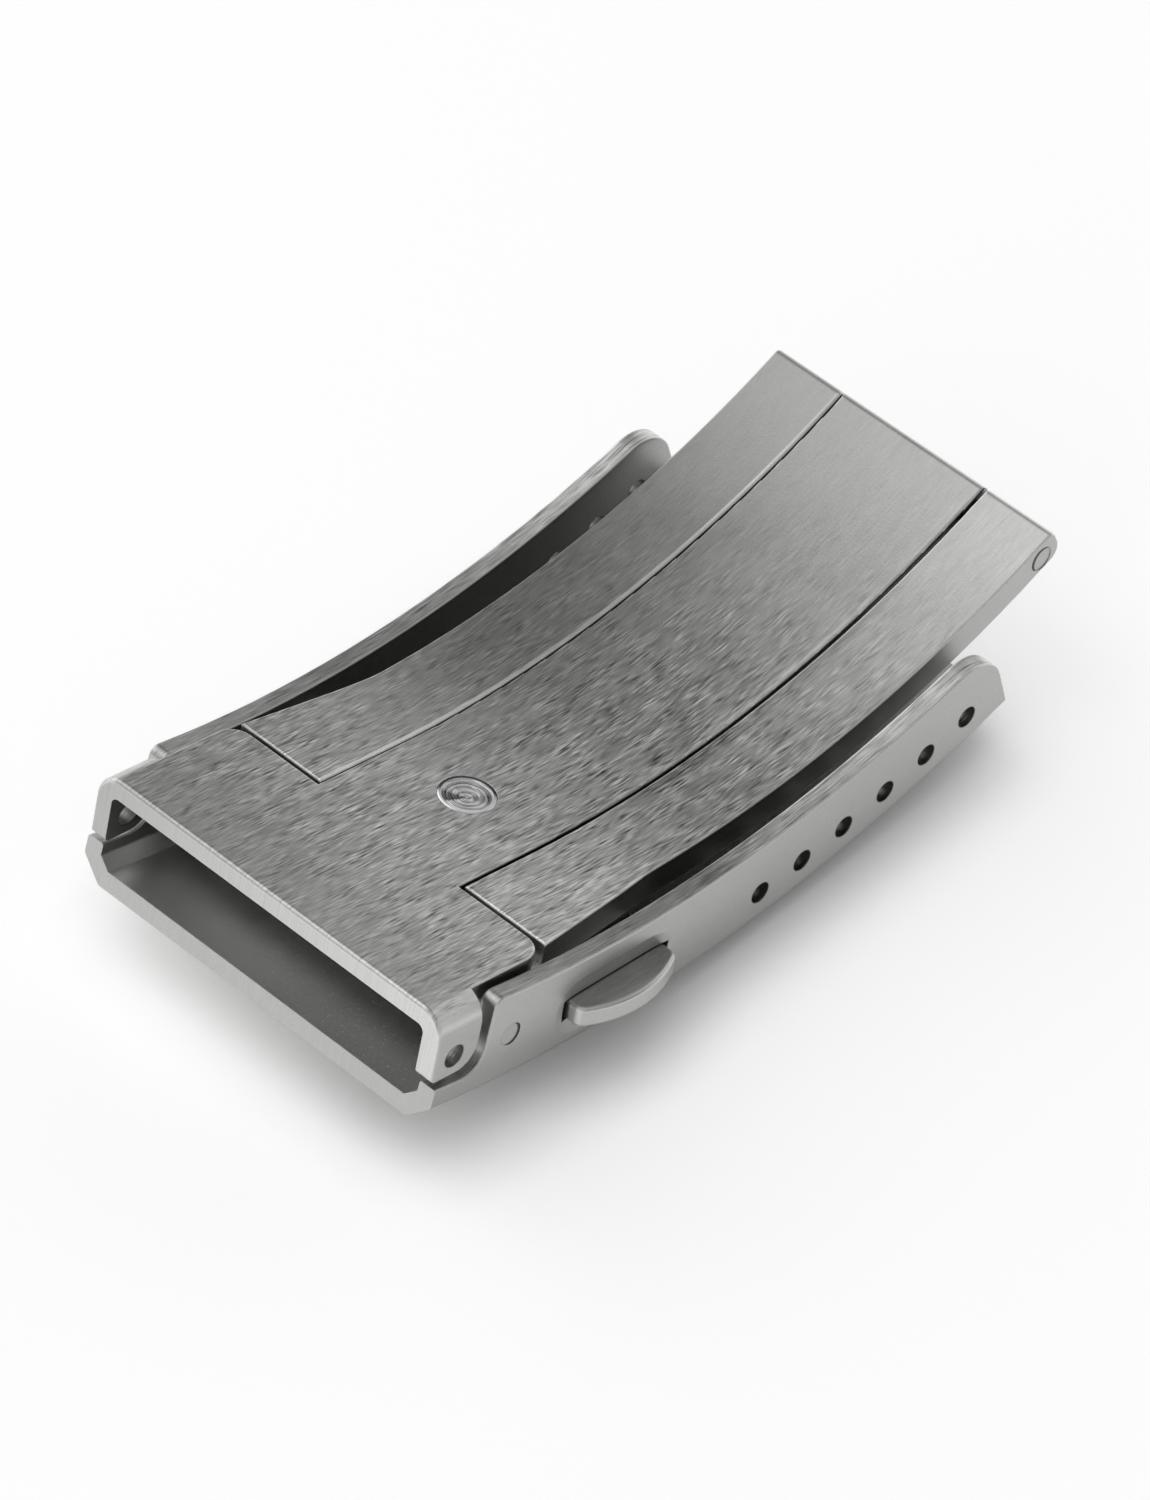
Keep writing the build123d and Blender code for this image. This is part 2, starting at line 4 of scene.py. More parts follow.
import bpy
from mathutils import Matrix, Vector


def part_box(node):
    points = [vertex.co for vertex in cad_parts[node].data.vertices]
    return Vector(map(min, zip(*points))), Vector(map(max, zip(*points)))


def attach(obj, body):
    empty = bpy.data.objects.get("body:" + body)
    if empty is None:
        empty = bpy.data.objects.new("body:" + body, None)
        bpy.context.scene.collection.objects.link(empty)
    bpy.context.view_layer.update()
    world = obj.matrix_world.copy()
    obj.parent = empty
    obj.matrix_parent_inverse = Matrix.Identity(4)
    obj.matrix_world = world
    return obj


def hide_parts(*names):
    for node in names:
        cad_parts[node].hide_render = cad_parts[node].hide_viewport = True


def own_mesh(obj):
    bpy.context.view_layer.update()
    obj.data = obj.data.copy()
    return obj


# Places and lengths on the clasp are millimetres of the closed clasp: x runs from the lug end to the far end,
# y from the near wall to the far one, and z up. The studio's lengths are metres.
MM = 0.001

# Camera: aimed beside the stud's face, from the wrist side and the lug end
STUD_FACE = Vector((-7.3205, 0, 6.0001)) * MM
AIM_OFFSET = Vector((4.034, -2.206, 1.267)) * MM
CAMERA_AZIMUTH = 314.45
CAMERA_ELEVATION = 46.50
CAMERA_DISTANCE = 0.3570
CAMERA_LENS = 209.7
SENSOR_WIDTH = 36.0
CLIP_START = 0.01
CLIP_END = 20

# Bends that the brushing follows: the height of each centre. The cover's lowest point is at 0
COVER_CENTRE = 61.0
BLADE_RADIUS = 46.0
BLADE_LOW = 4.95
BLADE_CENTRE = BLADE_LOW + BLADE_RADIUS

# Which way a face looks: the parts of its normal from where a mask is 0 to where it is 1
SIDE_BLEND = 0.3
FRONT_FACING = (-0.55, -0.85)
UP_FACING = (0.2, 0.5)
PLATE_SHOULDER_TILT = (0.10, 0.30)
NOSE_SHOULDER_TILT = (-0.12, 0.12)
SIDE_SHOULDER_TILT = (0.12, 0.35)

# Brushing: each noise's cells per millimetre, and the levels between which it shows
FINE_NOISE = {"seed": 1.3, "detail": 0.6}
PATCH_NOISE = {"along": 0.8, "over": 1.5, "seed": 3.0, "roughness": 0.5}
PATCH_LEVELS = (0.33, 0.66, 0.45, 1.55)
BROAD_NOISE = {"along": 0.22, "over": 1.6, "seed": 7.9}
BROAD_SHARE = 0.8
MARK_NOISE = {"along": 1.3, "over": 4.2, "seed": 4.4, "detail": 1.0}
MARK_LEVELS = (0.17, 0.24)
SPECK_NOISE = {"scale": 9.0, "detail": 3.0, "roughness": 0.7}
CLOUD_NOISE = {"scale": 0.42, "detail": 3.0, "roughness": 0.55}
LEAST_STRENGTH = 0.06
FRONT_STRENGTH = 0.10
# A centred noise swings by a half each way, so its gain is doubled
SWING = 2

# Every steel: its warm tinge, its relief and what changes its roughness
BLUE_SHARE = 0.985
SPECK_RELIEF = 0.35
ANISOTROPY = 0.5
BRUSHING_WAY = (1.0, 0.03, 0.02)
STROKE_DULLNESS = 0.18
CLOUD_DULLNESS = 0.10
EDGE_DULLNESS = -0.08

# Worn edges, lightened as wear and as painted highlight: how wide they are, how far they turn, and how their
# lightening varies
EDGE_WIDTH = 0.06
EDGE_SAMPLES = 6
EDGE_TURN = (0.995, 0.86)
EDGE_WEAR_AND_HIGHLIGHT_NOISE = {"scale": 2.3, "detail": 3.0, "roughness": 0.6}
EDGE_WEAR_AND_HIGHLIGHT_LEVELS = (0.25, 0.6, 0.55, 1.0)

# Cover: the half width between its walls, the painted light that its inside gets towards the far wall, and
# pits there
COVER_HALF_INSIDE = 9.1
INSIDE_BLEND = 0.05
INSIDE_PAINTED_LIGHT = (-9.0, 8.0, 0.0, 0.75)
PIT_NOISE = {"scale": 6.0, "detail": 2.0, "roughness": 0.6}
PIT_LEVELS = (0.61, 0.70)
PIT_GAIN = 0.5

# Cover's walls: heights of rim and foot over the underside, measured towards the bend's centre, and the
# stretches of x over which their painted light and shade change. The rim's stretch differs from the near wall
# to the far one
NEAR_TO_FAR = (-1.0, 1.0)
RIM_HEIGHTS = (3.0, 3.6)
RIM_STARTS = (-2.8, -6.0)
RIM_ENDS = (2.0, 10.0)
RIM_PAINTED_LIGHT = (-0.28, 0.34)
FOOT_HEIGHTS = (4.2, 1.4)
FOOT_PAINTED_SHADE = (2.0, -13.0, 0.0, -0.30)

# Blades: stretches of x and y from where a mask is 0 to where it is 1, and the strength or gain there
PLATE_SHOULDER_X = (-9.5, -10.5)
NOSE_SHOULDER_X = (14.0, 17.0)
STROKES_FADE = (0.0, 17.0, 1.0, 0.12)
STROKES_GROW = (-18.5, -13.0, 0.6, 1.0)
STROKES_WEAK_Y = (-1.0, 5.0)
STROKES_WEAK_X = (-10.0, -6.0)
STROKES_WEAK_LOSS = -0.45
PAINTED_SHADE_PER_MM_ACROSS = -0.018
PLATE_FRONT_X = (-12.5, -16.5)
PLATE_FRONT_PAINTED_SHADE = -0.11
# Broad patches of painted shade and light on the blades: a stretch of y, stretches of x, and the change of
# shade
PAINTED_LIGHT_PATCHES = (
    ((-1.0, -4.0), ((-5.5, -2.5), (3.5, 0.8)), -0.13),
    ((-3.5, -5.0), ((1.5, 4.0),), 0.10),
    ((-4.0, 8.0), ((-6.0, 2.0), (16.0, 9.0)), -0.26),
)

# Slot round the tongue: its far side's painted highlight, and the tongue's near edge, painted light above and
# shade beyond
SLOT_START = -11.8
SLOT_BLEND = 0.3
SLOT_FAR = 4.20
SLOT_FAR_HALF = 0.13
SLOT_FAR_CORE = 0.05
SLOT_FAR_GAIN = (20.0, 12.0, 0.25, 0.9)
SLOT_MIDDLE_START = (-4.0, 2.0)
SLOT_MIDDLE_END = (16.0, 8.0)
SLOT_NEAR = -4.05
NEAR_EDGE_HIGHLIGHT_BAND = (0.40, 0.1)
NEAR_EDGE_HIGHLIGHT_RIM = 0.05
NEAR_EDGE_HIGHLIGHT_GAIN = 0.55
NEAR_EDGE_SHADE_BAND = (0.9, 0.3)
NEAR_EDGE_SHADE_RIM = 0.1
NEAR_EDGE_SHADE_LOSS = -0.30

# Bores and pin ends: how far past its radius a bore's painted shade fades, and how wide a pin's painted
# shadow crescent is
BORE_RIM = (0.01, 0.05)
ADJUST_BORE_LOSS = 0.50
LUG_BORE_LOSS = 0.45
CRESCENT_RIM = (-0.06, 0.02)
CRESCENT_LOSS = -0.88
# Which way along the clasp and up each crescent lies, and how far
HINGE_PIN_CRESCENT = (0.12, -0.05)
FOLD_PIN_CRESCENT = (-0.20, 0.19)

# Stud: its axis, its rim's radius and two directions across its face
STUD_AXIS = Vector((0.2407, 0, 0.9706))
STUD_RIM = 1.27
STUD_BACK = Vector((0.72, 0.69, -0.18))
STUD_RIGHT = Vector((0.69, -0.72, -0.17))
# Lathe's rings: shares of the rim's radius, each with its brightness
RING_SHARES = (
    (0.0, 0.75), (0.09, 0.25), (0.18, 0.80), (0.30, 0.22), (0.41, 0.75), (0.52, 0.28), (0.62, 0.76),
    (0.73, 0.18), (0.82, 0.72), (0.92, 0.76), (1.0, 0.76),
)
RING_CONTRAST = 1.25
RING_BASE = 0.42
RING_DEPTH = 0.04
RING_WARP = 0.10
# Painted highlight and shade sectors: shares of the turn, each with its brightness
PAINTED_SECTOR_SHARES = (
    (0.0, 0.86), (0.08, 0.90), (0.13, 1.30), (0.155, 1.0), (0.175, 0.30), (0.26, 0.36), (0.30, 0.80),
    (0.36, 0.92), (0.5, 0.92), (0.64, 0.80), (0.72, 0.48), (0.79, 0.50), (0.86, 0.80), (0.93, 0.90),
    (1.0, 0.86),
)
SECTOR_NEUTRAL = 0.8
SECTOR_CONTRAST = 1.6
SECTOR_WARP = 0.06
# Shares of the rim's radius where the painted sectors end and where the seam's painted shadow lies
SECTOR_END_SHARES = (0.86, 0.80)
SEAM_SHARES = (0.86, 0.90)
SEAM_BACK_SHARES = (-0.15, 0.30)
SEAM_SHADOW_LOSS = -0.92
WARP_NOISE = {"scale": 1.1}
LATHE_NOISE = {"scale": 12.0, "roughness": 0.6}
LATHE_GRAIN = 0.35
LATHE_DULLNESS = 0.10
LATHE_ANISOTROPY = 0.75

# Studio sky: brightness against the X part of the direction, from the lug end to the far end
SKY = (
    (-1.0, 0.40), (-0.5, 0.42), (-0.1, 0.42), (0.05, 0.43), (0.15, 0.50), (0.27, 0.43), (0.40, 0.29),
    (0.50, 0.13), (0.60, 0.10), (0.68, 0.32), (0.77, 0.70), (0.90, 0.85), (1.0, 0.85),
)
SKY_STRENGTH = 0.9
REAR_GLOW = (0.62, 0.95, 0.0, 1.2)
# Softboxes: name, direction, distance, width, height and how bright the face looks
SOFTBOXES = (
    ("top_box", (-0.25, 0.45, 0.86), 0.50, 0.36, 0.36, 0.7),
    ("left_box", (-0.95, -0.10, 0.45), 0.60, 0.40, 0.30, 0.5),
)

# Floor: its half width in metres, its paper, how its glow fades where the clasp hides the light, and the
# reach of that in millimetres
FLOOR_HALF = 3.0
PAPER_GREY = 0.9
PAPER_ROUGHNESS = 0.9
PAPER_SHINE = 0.1
FLOOR_GLOW = (0.3, 1.0, 0.0, 0.50)
FLOOR_SHADE_REACH = 4.5
FLOOR_SHADE_SAMPLES = 8

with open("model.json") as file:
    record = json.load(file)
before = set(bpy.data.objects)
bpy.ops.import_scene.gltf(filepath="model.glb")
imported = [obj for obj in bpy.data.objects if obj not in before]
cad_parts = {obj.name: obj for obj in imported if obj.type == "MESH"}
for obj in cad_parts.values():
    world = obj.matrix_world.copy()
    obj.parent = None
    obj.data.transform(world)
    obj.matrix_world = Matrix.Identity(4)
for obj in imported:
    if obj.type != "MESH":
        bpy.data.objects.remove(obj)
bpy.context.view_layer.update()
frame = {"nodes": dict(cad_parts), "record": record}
nodes = frame["nodes"]


class Tree:
    """Short calls that add and join the nodes of a material or a world."""

    def __init__(self, owner, output_kind="ShaderNodeOutputMaterial"):
        owner.use_nodes = True
        self.owner = owner
        self.tree = owner.node_tree
        self.tree.nodes.clear()
        self.output = self.add(output_kind)

    def add(self, kind, **settings):
        node = self.tree.nodes.new(kind)
        for key, value in settings.items():
            setattr(node, key, value)
        return node

    def put(self, socket, value):
        """Joins a socket to another one, or sets its number."""
        if isinstance(value, bpy.types.NodeSocket):
            self.tree.links.new(value, socket)
        else:
            socket.default_value = value

    def maths(self, operation, first, second=0.0, third=None, clamp=False):
        node = self.add("ShaderNodeMath", operation=operation, use_clamp=clamp)
        self.put(node.inputs[0], first)
        self.put(node.inputs[1], second)
        if third is not None:
            self.put(node.inputs[2], third)
        return node.outputs[0]

    def product(self, first, *others):
        """The first value times all the others."""
        for other in others:
            first = self.maths("MULTIPLY", first, other)
        return first

    def rest(self, value):
        """What a value leaves of one."""
        return self.maths("SUBTRACT", 1.0, value)

    def centred(self, noise):
        """A noise of 0 to 1 as a swing to both sides of zero."""
        return self.maths("SUBTRACT", noise, 0.5)

    def changed(self, value, mask, share):
        """A value that grows by a share of itself where the mask is one."""
        return self.maths("MULTIPLY", value, self.maths("MULTIPLY_ADD", mask, share, 1.0))

    def vector(self, operation, first, second=None, scale=None):
        node = self.add("ShaderNodeVectorMath", operation=operation)
        self.put(node.inputs[0], first)
        if second is not None:
            self.put(node.inputs[1], second)
        if scale is not None:
            self.put(node.inputs["Scale"], scale)
        scalar = operation in ("DOT_PRODUCT", "LENGTH", "DISTANCE")
        return node.outputs["Value" if scalar else "Vector"]

    def ramp(self, value, low, high, to_low=0.0, to_high=1.0, smooth=True):
        """A value's way from low to high, as a way from to_low to to_high."""
        node = self.add("ShaderNodeMapRange", interpolation_type="SMOOTHSTEP" if smooth else "LINEAR")
        self.put(node.inputs["Value"], value)
        self.put(node.inputs["From Min"], low)
        self.put(node.inputs["From Max"], high)
        self.put(node.inputs["To Min"], to_low)
        self.put(node.inputs["To Max"], to_high)
        return node.outputs["Result"]

    def grades(self, value, stops, interpolation="LINEAR"):
        """The grey that a value of 0 to 1 finds between stops, each a place and its grey."""
        node = self.add("ShaderNodeValToRGB")
        node.color_ramp.interpolation = interpolation
        elements = node.color_ramp.elements
        while len(elements) < len(stops):
            elements.new(0.5)
        for element, (place, grey) in zip(elements, stops):
            element.position = place
            element.color = (grey, grey, grey, 1.0)
        self.put(node.inputs["Fac"], value)
        return node.outputs["Color"]

    def noise(self, vector, scale=1.0, detail=2.0, roughness=0.5):
        node = self.add("ShaderNodeTexNoise")
        self.put(node.inputs["Vector"], vector)
        self.put(node.inputs["Scale"], scale)
        self.put(node.inputs["Detail"], detail)
        self.put(node.inputs["Roughness"], roughness)
        return node.outputs["Fac"]

    def combine(self, x, y, z):
        node = self.add("ShaderNodeCombineXYZ")
        for socket, value in zip(node.inputs, (x, y, z)):
            self.put(socket, value)
        return node.outputs[0]

    def separate(self, vector):
        node = self.add("ShaderNodeSeparateXYZ")
        self.put(node.inputs[0], vector)
        return node.outputs

    def colour(self, red, green, blue):
        node = self.add("ShaderNodeCombineColor")
        for socket, value in zip(node.inputs, (red, green, blue)):
            self.put(socket, value)
        return node.outputs[0]

    def relief(self, height, depth, normal=None):
        """A normal bent by a height, whose 1 stands for a depth in millimetres."""
        node = self.add("ShaderNodeBump")
        self.put(node.inputs["Strength"], 1.0)
        self.put(node.inputs["Distance"], depth * MM)
        self.put(node.inputs["Height"], height)
        if normal is not None:
            self.put(node.inputs["Normal"], normal)
        return node.outputs[0]

    def turned(self, direction):
        """A direction on the object, turned as the object is."""
        node = self.add("ShaderNodeVectorTransform", vector_type="VECTOR")
        node.convert_from = "OBJECT"
        node.convert_to = "WORLD"
        self.put(node.inputs[0], direction)
        return node.outputs[0]

    def close(self, kind, settings):
        """Adds the last shader with its settings, and joins it to the output."""
        shader = self.add(kind)
        for name, value in settings.items():
            self.put(shader.inputs[name], value)
        self.put(self.output.inputs[0], shader.outputs[0])
        return self.owner


class Steel(Tree):
    """Steel brushed along the clasp on its upper faces and blasted on its sides.

    Its masks go from 0 to 1. Its shade is its brightness against its tone: brush starts it, the calls
    after that change it in turn, and finish ends the material.
    """

    def __init__(self, name, arc_centre, side_from=0.45, half_inside=None):
        super().__init__(bpy.data.materials.new(name))
        coordinates = self.add("ShaderNodeTexCoord")
        self.place = self.vector("SCALE", coordinates.outputs["Object"], scale=1 / MM)
        self.x, self.y, self.z = self.separate(self.place)
        self.normal = self.separate(coordinates.outputs["Normal"])
        self.side = self.ramp(self.maths("ABSOLUTE", self.normal[1]), side_from, side_from + SIDE_BLEND)
        self.front = self.ramp(self.normal[0], *FRONT_FACING)
        self.brushed = self.product(self.rest(self.side), self.rest(self.front))
        self.outer_side = self.side
        if half_inside is not None:
            within = self.ramp(self.maths("ABSOLUTE", self.y), half_inside + INSIDE_BLEND,
                               half_inside - INSIDE_BLEND)
            self.inner = self.product(within, self.rest(self.front))
            self.brushed = self.product(self.brushed, self.rest(self.inner))
            self.outer_side = self.product(self.side, self.rest(self.inner))
        drop = self.maths("SUBTRACT", arc_centre, self.z)
        squares = self.maths("ADD", self.product(self.x, self.x), self.product(drop, drop))
        self.arc = self.maths("SQRT", squares)
        self.across = self.maths("ADD", self.product(self.y, self.rest(self.side)),
                                 self.product(self.arc, self.side))

    def brighten(self, mask, gain):
        """Adds a gain to the shade where the mask is one."""
        self.shade = self.maths("MULTIPLY_ADD", mask, gain, self.shade)

    def change(self, mask, share):
        """Lets the shade grow by a share of itself where the mask is one."""
        self.shade = self.changed(self.shade, mask, share)

    def drawn_noise(self, along, over, seed, detail=2.0, roughness=0.6):
        """Noise drawn out along the brushing; along and over are its cells per millimetre."""
        where = self.combine(self.product(self.x, along), self.product(self.across, over), seed)
        return self.noise(where, detail=detail, roughness=roughness)

    def brush(self, lines, grain, fineness=7.5, shortness=1.4, blotch=0.05, marks=0.0, fading=()):
        """Starts the shade with strokes, specks and clouds; fading holds what weakens the strokes."""
        fine = self.centred(self.drawn_noise(shortness, fineness, **FINE_NOISE))
        fine = self.product(fine, self.ramp(self.drawn_noise(**PATCH_NOISE), *PATCH_LEVELS))
        broad = self.centred(self.drawn_noise(**BROAD_NOISE))
        self.speck = self.centred(self.noise(self.place, **SPECK_NOISE))
        self.cloud = self.centred(self.noise(self.place, **CLOUD_NOISE))
        strength = self.product(self.brushed, *fading)
        strength = self.maths("MAXIMUM", strength, LEAST_STRENGTH)
        strength = self.maths("MAXIMUM", strength, self.product(self.front, FRONT_STRENGTH))
        self.strokes = self.product(fine, strength)
        self.shade = 1.0
        self.brighten(self.strokes, SWING * lines)
        self.brighten(self.product(broad, strength), BROAD_SHARE * lines)
        self.brighten(self.speck, SWING * grain)
        self.brighten(self.cloud, SWING * blotch)
        if marks:
            short = self.ramp(self.centred(self.drawn_noise(**MARK_NOISE)), *MARK_LEVELS)
            self.brighten(self.product(short, self.brushed), -marks)

    def paint_shoulder_highlights(self, gain):
        """Paints highlights on the rounded shoulders of the plate, the nose and the sides, where they face
        up.
        """
        tilt = self.maths("ABSOLUTE", self.maths("SUBTRACT", self.normal[0], STUD_AXIS.x))
        on_plate = self.product(self.ramp(tilt, *PLATE_SHOULDER_TILT), self.ramp(self.x, *PLATE_SHOULDER_X))
        on_nose = self.product(self.ramp(self.normal[0], *NOSE_SHOULDER_TILT),
                               self.ramp(self.x, *NOSE_SHOULDER_X))
        on_side = self.ramp(self.maths("ABSOLUTE", self.normal[1]), *SIDE_SHOULDER_TILT)
        shoulder = self.maths("MAXIMUM", self.maths("MAXIMUM", on_plate, on_nose), on_side)
        self.brighten(self.product(shoulder, self.ramp(self.normal[2], *UP_FACING)), gain)

    def wear_and_highlight_edges(self, gain):
        """Lightens the edges as wear and as painted highlight, more in some places than in others."""
        bevel = self.add("ShaderNodeBevel", samples=EDGE_SAMPLES)
        self.put(bevel.inputs["Radius"], EDGE_WIDTH * MM)
        self.rounded = bevel.outputs[0]
        flat = self.add("ShaderNodeNewGeometry").outputs["Normal"]
        turn = self.vector("DOT_PRODUCT", self.rounded, flat)
        uneven = self.ramp(self.noise(self.place, **EDGE_WEAR_AND_HIGHLIGHT_NOISE), *EDGE_WEAR_AND_HIGHLIGHT_LEVELS)
        self.worn_and_highlit = self.product(self.ramp(turn, *EDGE_TURN), uneven)
        self.brighten(self.worn_and_highlit, gain)

    def distance_from(self, x, z):
        """The distance from a line that runs across the clasp."""
        return self.vector("DISTANCE", self.combine(self.x, 0.0, self.z), (x, 0.0, z))

    def paint_bore_shade(self, x, z, radius, loss):
        """Paints shade inside a bore, which ends at its rim."""
        distance = self.distance_from(x, z)
        clear = self.ramp(distance, radius + BORE_RIM[0], radius + BORE_RIM[1], 1 - loss, 1.0)
        self.shade = self.product(self.shade, clear)

    def paint_pin_end_shadow(self, pin, crescent):
        """Paints a shadow on one side of a pin's end face along its rim."""
        x, z, radius = circle_of(pin)
        distance = self.distance_from(x - crescent[0], z - crescent[1])
        rim = self.ramp(distance, radius + CRESCENT_RIM[0], radius + CRESCENT_RIM[1])
        self.change(rim, CRESCENT_LOSS)

    def finish(self, tone, roughness, depth):
        """Ends the material with its shade times its tone, and a relief of a depth in millimetres."""
        level = self.maths("MULTIPLY", self.shade, tone, clamp=True)
        height = self.maths("ADD", self.strokes, self.product(self.speck, SPECK_RELIEF))
        dull = self.maths("MULTIPLY_ADD", self.strokes, STROKE_DULLNESS, roughness)
        dull = self.maths("MULTIPLY_ADD", self.cloud, CLOUD_DULLNESS, dull)
        dull = self.maths("MULTIPLY_ADD", self.worn_and_highlit, EDGE_DULLNESS, dull, clamp=True)
        return self.close("ShaderNodeBsdfPrincipled", {
            "Metallic": 1.0,
            "Anisotropic": ANISOTROPY,
            "Base Color": self.colour(level, level, self.product(level, BLUE_SHARE)),
            "Roughness": dull,
            "Normal": self.relief(height, depth, self.rounded),
            "Tangent": self.turned(BRUSHING_WAY),
        })


def circle_of(pin):
    """A pin's place along the clasp, its height and its radius."""
    low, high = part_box(pin)
    middle = (low + high) / 2
    return middle.x / MM, middle.z / MM, (high.x - low.x) / 2 / MM


def bores(name_start):
    """The place along the clasp, the height and the radius of each bore whose name starts so."""
    for mount in frame["record"]["mounts"]:
        if mount["name"].startswith(name_start):
            x, _, z = mount["pos_m"]
            yield x / MM, z / MM, mount["dims"]["r_mm"]


def paint_inside_light(steel):
    """Paints light on the cover's inside, growing towards the far wall, and strews light pits over it."""
    steel.change(steel.inner, steel.ramp(steel.y, *INSIDE_PAINTED_LIGHT))
    pits = steel.ramp(steel.noise(steel.place, **PIT_NOISE), *PIT_LEVELS)
    steel.brighten(steel.product(pits, steel.inner), PIT_GAIN)


def paint_wall_light_and_shade(steel):
    """Paints light and shade on the cover's rims, dark to light along the clasp, and paints shade on its feet
    at the lug end.
    """
    rim = steel.ramp(steel.arc, COVER_CENTRE - RIM_HEIGHTS[0], COVER_CENTRE - RIM_HEIGHTS[1])
    rim_start = steel.ramp(steel.y, *NEAR_TO_FAR, *RIM_STARTS)
    rim_end = steel.ramp(steel.y, *NEAR_TO_FAR, *RIM_ENDS)
    steel.change(steel.product(rim, steel.brushed), steel.ramp(steel.x, rim_start, rim_end, *RIM_PAINTED_LIGHT))
    foot = steel.ramp(steel.arc, COVER_CENTRE - FOOT_HEIGHTS[0], COVER_CENTRE - FOOT_HEIGHTS[1])
    foot_painted_shade = steel.ramp(steel.x, *FOOT_PAINTED_SHADE, smooth=False)
    steel.change(steel.product(foot, steel.outer_side), foot_painted_shade)


def stroke_fading(steel):
    """What weakens the blades' strokes: at the far end, at the front and on the far side."""
    beyond = steel.product(steel.ramp(steel.y, *STROKES_WEAK_Y), steel.ramp(steel.x, *STROKES_WEAK_X))
    return (
        steel.ramp(steel.x, *STROKES_FADE),
        steel.ramp(steel.x, *STROKES_GROW),
        steel.maths("MULTIPLY_ADD", beyond, STROKES_WEAK_LOSS, 1.0),
    )


def paint_slot_light_and_shade(steel):
    """Paints the slot's far line as a highlight, and on the tongue's near edge a highlight above and shade
    beyond.
    """
    off_line = steel.maths("ABSOLUTE", steel.maths("SUBTRACT", steel.y, SLOT_FAR))
    line = steel.product(steel.ramp(off_line, SLOT_FAR_HALF, SLOT_FAR_CORE),
                         steel.ramp(steel.x, SLOT_START, SLOT_START + SLOT_BLEND))
    steel.brighten(line, steel.ramp(steel.x, *SLOT_FAR_GAIN))
    middle = steel.product(steel.ramp(steel.x, *SLOT_MIDDLE_START), steel.ramp(steel.x, *SLOT_MIDDLE_END))
    above = steel.ramp(steel.y, *(SLOT_NEAR + way for way in NEAR_EDGE_HIGHLIGHT_BAND))
    near_highlight = steel.product(above, middle, steel.ramp(steel.y, SLOT_NEAR - NEAR_EDGE_HIGHLIGHT_RIM, SLOT_NEAR))
    steel.brighten(near_highlight, NEAR_EDGE_HIGHLIGHT_GAIN)
    beyond = steel.ramp(steel.y, *(SLOT_NEAR - way for way in NEAR_EDGE_SHADE_BAND))
    near_shade = steel.product(beyond, middle, steel.ramp(steel.y, SLOT_NEAR, SLOT_NEAR - NEAR_EDGE_SHADE_RIM))
    steel.change(near_shade, NEAR_EDGE_SHADE_LOSS)


def paint_patch_light_and_shade(steel):
    """Paints shade and light on broad patches of the blades."""
    for stretch_y, stretches_x, share in PAINTED_LIGHT_PATCHES:
        patch = steel.ramp(steel.y, *stretch_y)
        for stretch_x in stretches_x:
            patch = steel.product(patch, steel.ramp(steel.x, *stretch_x))
        steel.change(patch, share)


def cover_steel():
    steel = Steel("cover_steel", COVER_CENTRE, half_inside=COVER_HALF_INSIDE)
    steel.brush(lines=0.6, grain=0.16, fineness=12.5, shortness=1.0)
    # Painted shade: the cover's outer sides are darkened
    steel.change(steel.outer_side, share=-0.24)
    paint_inside_light(steel)
    paint_wall_light_and_shade(steel)
    # Painted shade: the cover's front faces are darkened
    steel.change(steel.front, share=-0.22)
    steel.paint_shoulder_highlights(gain=0.30)
    steel.wear_and_highlight_edges(gain=0.2)
    for bore in bores("adjust_bore"):
        steel.paint_bore_shade(*bore, ADJUST_BORE_LOSS)
    return steel.finish(tone=0.60, roughness=0.36, depth=0.012)


def blade_steel():
    steel = Steel("blade_steel", BLADE_CENTRE, side_from=0.65)
    steel.brush(lines=1.0, grain=0.08, fineness=12.5, blotch=0.08, marks=0.05, fading=stroke_fading(steel))
    # Painted shade: the blades' outer sides are darkened
    steel.change(steel.outer_side, share=-0.37)
    # Painted light: the blades' front faces are lightened a little
    steel.change(steel.front, share=0.04)
    steel.paint_shoulder_highlights(gain=0.35)
    # Painted shade: the blades darken towards the far side, and the plate's front is darkened
    steel.change(steel.y, PAINTED_SHADE_PER_MM_ACROSS)
    steel.change(steel.product(steel.ramp(steel.x, *PLATE_FRONT_X), steel.brushed), PLATE_FRONT_PAINTED_SHADE)
    paint_slot_light_and_shade(steel)
    paint_patch_light_and_shade(steel)
    steel.wear_and_highlight_edges(gain=0.10)
    for bore in bores("lug_spring_bar_bore"):
        steel.paint_bore_shade(*bore, LUG_BORE_LOSS)
    return steel.finish(tone=0.565, roughness=0.34, depth=0.02)


def button_steel():
    steel = Steel("button_steel", COVER_CENTRE)
    steel.brush(lines=0.10, grain=0.10)
    # Painted shade: the button's sides are darkened
    steel.change(steel.outer_side, share=-0.22)
    steel.paint_shoulder_highlights(gain=0.30)
    steel.wear_and_highlight_edges(gain=0.2)
    return steel.finish(tone=0.60, roughness=0.32, depth=0.008)


def pin_steel(name, pin, crescent, tone, edge_gain):
    """A pin's steel, with a painted shadow crescent on its end face."""
    steel = Steel(name, COVER_CENTRE)
    steel.brush(lines=0.02, grain=0.08)
    # Painted shade: the pin's sides are darkened
    steel.change(steel.outer_side, share=-0.3)
    steel.wear_and_highlight_edges(edge_gain)
    steel.paint_pin_end_shadow(pin, crescent)
    return steel.finish(tone, roughness=0.30, depth=0.006)


def hidden_steel(name, lines, grain, blotch, tone, roughness, depth):
    """The plain steel of the pieces inside the cover."""
    steel = Steel(name, COVER_CENTRE)
    steel.brush(lines, grain, blotch=blotch)
    # Painted shade: the sides are darkened
    steel.change(steel.outer_side, share=-0.3)
    steel.wear_and_highlight_edges(gain=0.1)
    return steel.finish(tone, roughness, depth)


